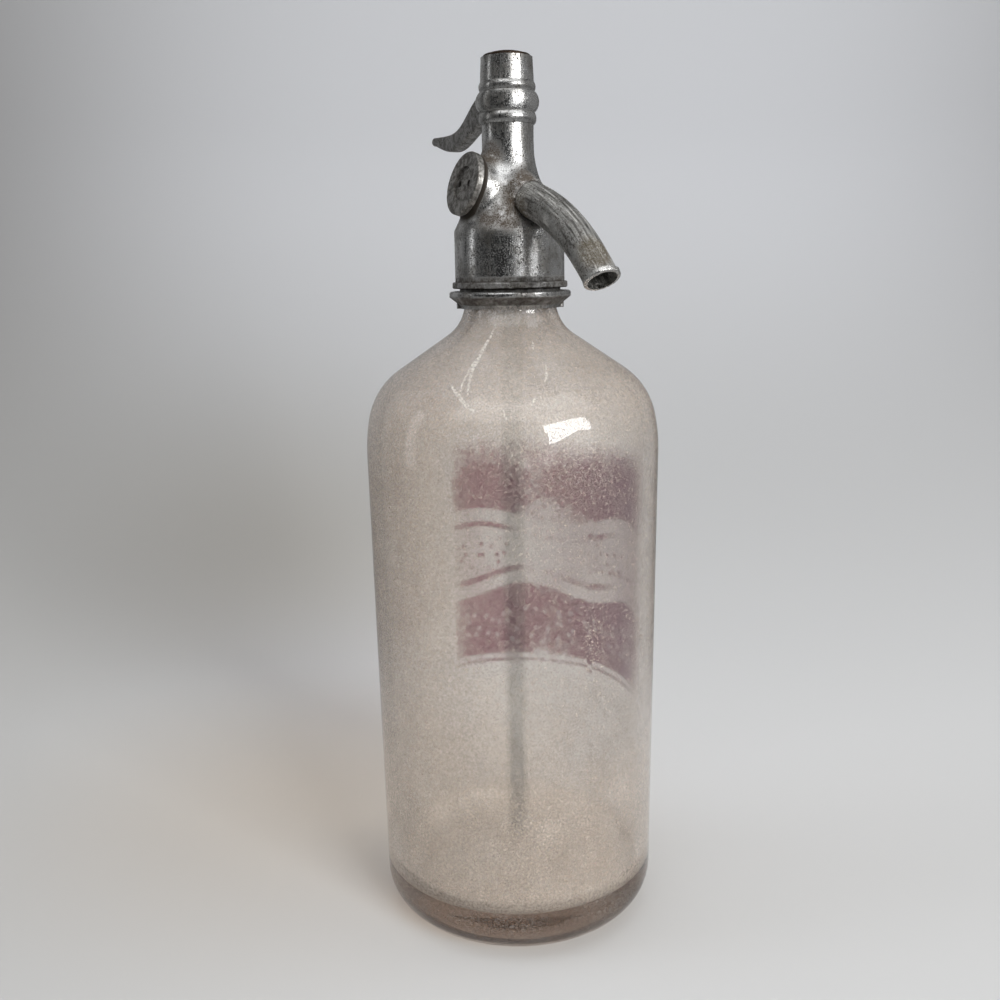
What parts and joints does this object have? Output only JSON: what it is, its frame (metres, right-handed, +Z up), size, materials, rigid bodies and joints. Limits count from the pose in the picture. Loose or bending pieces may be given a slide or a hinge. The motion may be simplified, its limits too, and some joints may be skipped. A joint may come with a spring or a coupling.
{
  "type": "soda siphon",
  "caption": "Glass soda siphon with a plated metal head, rear hand lever, curved spout and inner dip tube; pressing the lever opens a sprung valve.",
  "frame": {"origin": "middle of the bottle's base, on the plane it stands on", "axes": "+Z up along the bottle's axis, +X towards the spout, lever at -X, side plug at -Y"},
  "size_m": [0.1138, 0.102, 0.3026],
  "materials": {
    "bottle_glass": "hazy clear",
    "tube_glass": "clear",
    "head_metal": "worn plating over grey casting",
    "spout_metal": "dull, scratched plating",
    "lever_metal": "dull rough casting",
    "plug_metal": "worn, mottled",
    "top_metal": "tarnished, rusty",
    "inner_brass": "turned",
    "spring_steel": "drawn wire",
    "black_rubber": "matte"
  },
  "bodies": {
    "bottle_and_head": {"glass_bottle": "bottle_glass", "neck_gasket": "black_rubber", "collar_half_left": "head_metal", "collar_half_right": "head_metal", "head_body": "head_metal", "side_plug": "plug_metal", "side_plug_washer": "black_rubber", "spout": "spout_metal", "valve_seat": "inner_brass", "stem_packing": "black_rubber", "gland_nut": "inner_brass", "return_spring": "spring_steel", "lever_pin": "spring_steel", "cap_sleeve": "head_metal", "top_plug": "top_metal", "dip_tube": "tube_glass", "dip_tube_gasket": "black_rubber", "dip_tube_ferrule": "inner_brass"},
    "hand_lever": {"lever": "lever_metal"},
    "valve": {"valve_stem": "inner_brass", "valve_washer": "black_rubber", "spring_seat": "inner_brass"}
  },
  "joints": [
    {"name": "lever_hinge", "type": "hinge", "parent": "bottle_and_head", "child": "hand_lever", "pos_m": [-0.005, 0, 0.28678], "axis": [0, -1, 0], "range_deg": [0, 17.18], "stiffness_Nm_per_rad": 1, "springref_deg": -17.19},
    {"name": "stem_lift", "type": "slide", "parent": "bottle_and_head", "child": "valve", "axis": [0, 0, 1], "range_m": [0, 0.0015], "deforming": ["return_spring"]}
  ],
  "couplings": [
    {"joint": "stem_lift", "follows": "lever_hinge", "m_per_rad": 0.005}
  ]
}
